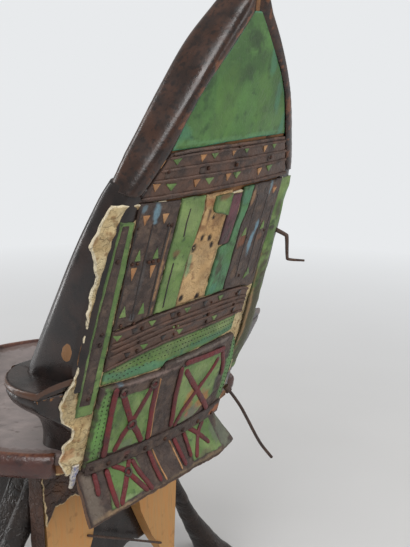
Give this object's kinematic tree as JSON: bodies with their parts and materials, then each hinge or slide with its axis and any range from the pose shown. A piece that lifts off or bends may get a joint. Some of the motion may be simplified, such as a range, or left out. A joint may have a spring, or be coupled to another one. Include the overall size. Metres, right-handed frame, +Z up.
{
  "type": "camel riding saddle",
  "caption": "Wooden camel riding saddle with a tall leather-panelled backrest, a round dished seat, a cross-headed pommel and splayed leather-covered legs.",
  "frame": {"origin": "ground under the middle of the saddle's box", "axes": "+Z up, -Y the way the rider faces, +X the rider's left"},
  "size_m": [0.532, 0.589, 0.7779],
  "materials": {
    "carved_wood": "dry carved softwood",
    "bare_wood": "bare pale wood, dry and matt",
    "dark_leather": "black-brown leather, worn glossy",
    "brown_leather": "brown leather, glossy on its round, rough at its rim",
    "seat_leather": "grey worn leather, satin",
    "rim_leather": "red-brown leather roll, glossy where worn",
    "rawhide": "cream rawhide, dry and rough",
    "green_leather": "dyed green leather, scuffed",
    "teal_leather": "dyed blue-green leather, scuffed",
    "purple_leather": "faded purple leather",
    "panel_leather": "brown suede-like leather",
    "red_leather": "dyed red leather strap",
    "thong_leather": "stiff dried leather thong",
    "rivet_iron": "dark flat rivet"
  },
  "bodies": {
    "root": {"backrest_board": "carved_wood", "backrest_lower_cover": "dark_leather", "backrest_neck": "carved_wood", "backrest_pegs": "bare_wood", "backrest_upper_cover": "brown_leather", "band_ridges": "panel_leather", "bare_strip": "rawhide", "bent_thong": "thong_leather", "brown_strip_left": "panel_leather", "brown_strip_right": "panel_leather", "collar_flange": "dark_leather", "flap_board": "rawhide", "flap_facing": "panel_leather", "fork_hide_remnant": "rawhide", "fork_tie": "rawhide", "front_fork_board_left": "bare_wood", "front_fork_board_right": "bare_wood", "front_fork_web": "dark_leather", "front_leg_cover_left": "dark_leather", "front_leg_cover_right": "dark_leather", "front_leg_left": "carved_wood", "front_leg_right": "carved_wood", "green_field": "green_leather", "green_fields": "green_leather", "green_pair_strip": "green_leather", "green_strip": "green_leather", "left_border_strip": "green_leather", "long_thong": "thong_leather", "lower_band": "panel_leather", "neck_cover": "dark_leather", "pommel_cover": "dark_leather", "pommel_neck": "carved_wood", "pommel_neck_cover": "dark_leather", "pommel_peg": "bare_wood", "pommel_post": "carved_wood", "purple_strip": "purple_leather", "rawhide_sheet": "rawhide", "rear_fork_board_left": "bare_wood", "rear_fork_board_right": "bare_wood", "rear_fork_web": "dark_leather", "rear_leg_cover_left": "dark_leather", "rear_leg_cover_right": "dark_leather", "rear_leg_left": "carved_wood", "rear_leg_right": "carved_wood", "red_straps": "red_leather", "right_border_strip": "green_leather", "riveted_strip": "panel_leather", "seat_board_left": "carved_wood", "seat_board_right": "carved_wood", "seat_cover": "seat_leather", "seat_rim": "rim_leather", "seat_underside_hide": "rawhide", "side_skirt_left": "dark_leather", "side_skirt_right": "dark_leather", "strip_rivets": "rivet_iron", "teal_strip": "teal_leather", "thong_knot": "thong_leather", "upper_band": "panel_leather", "x_panel": "panel_leather"}
  },
  "joints": []
}
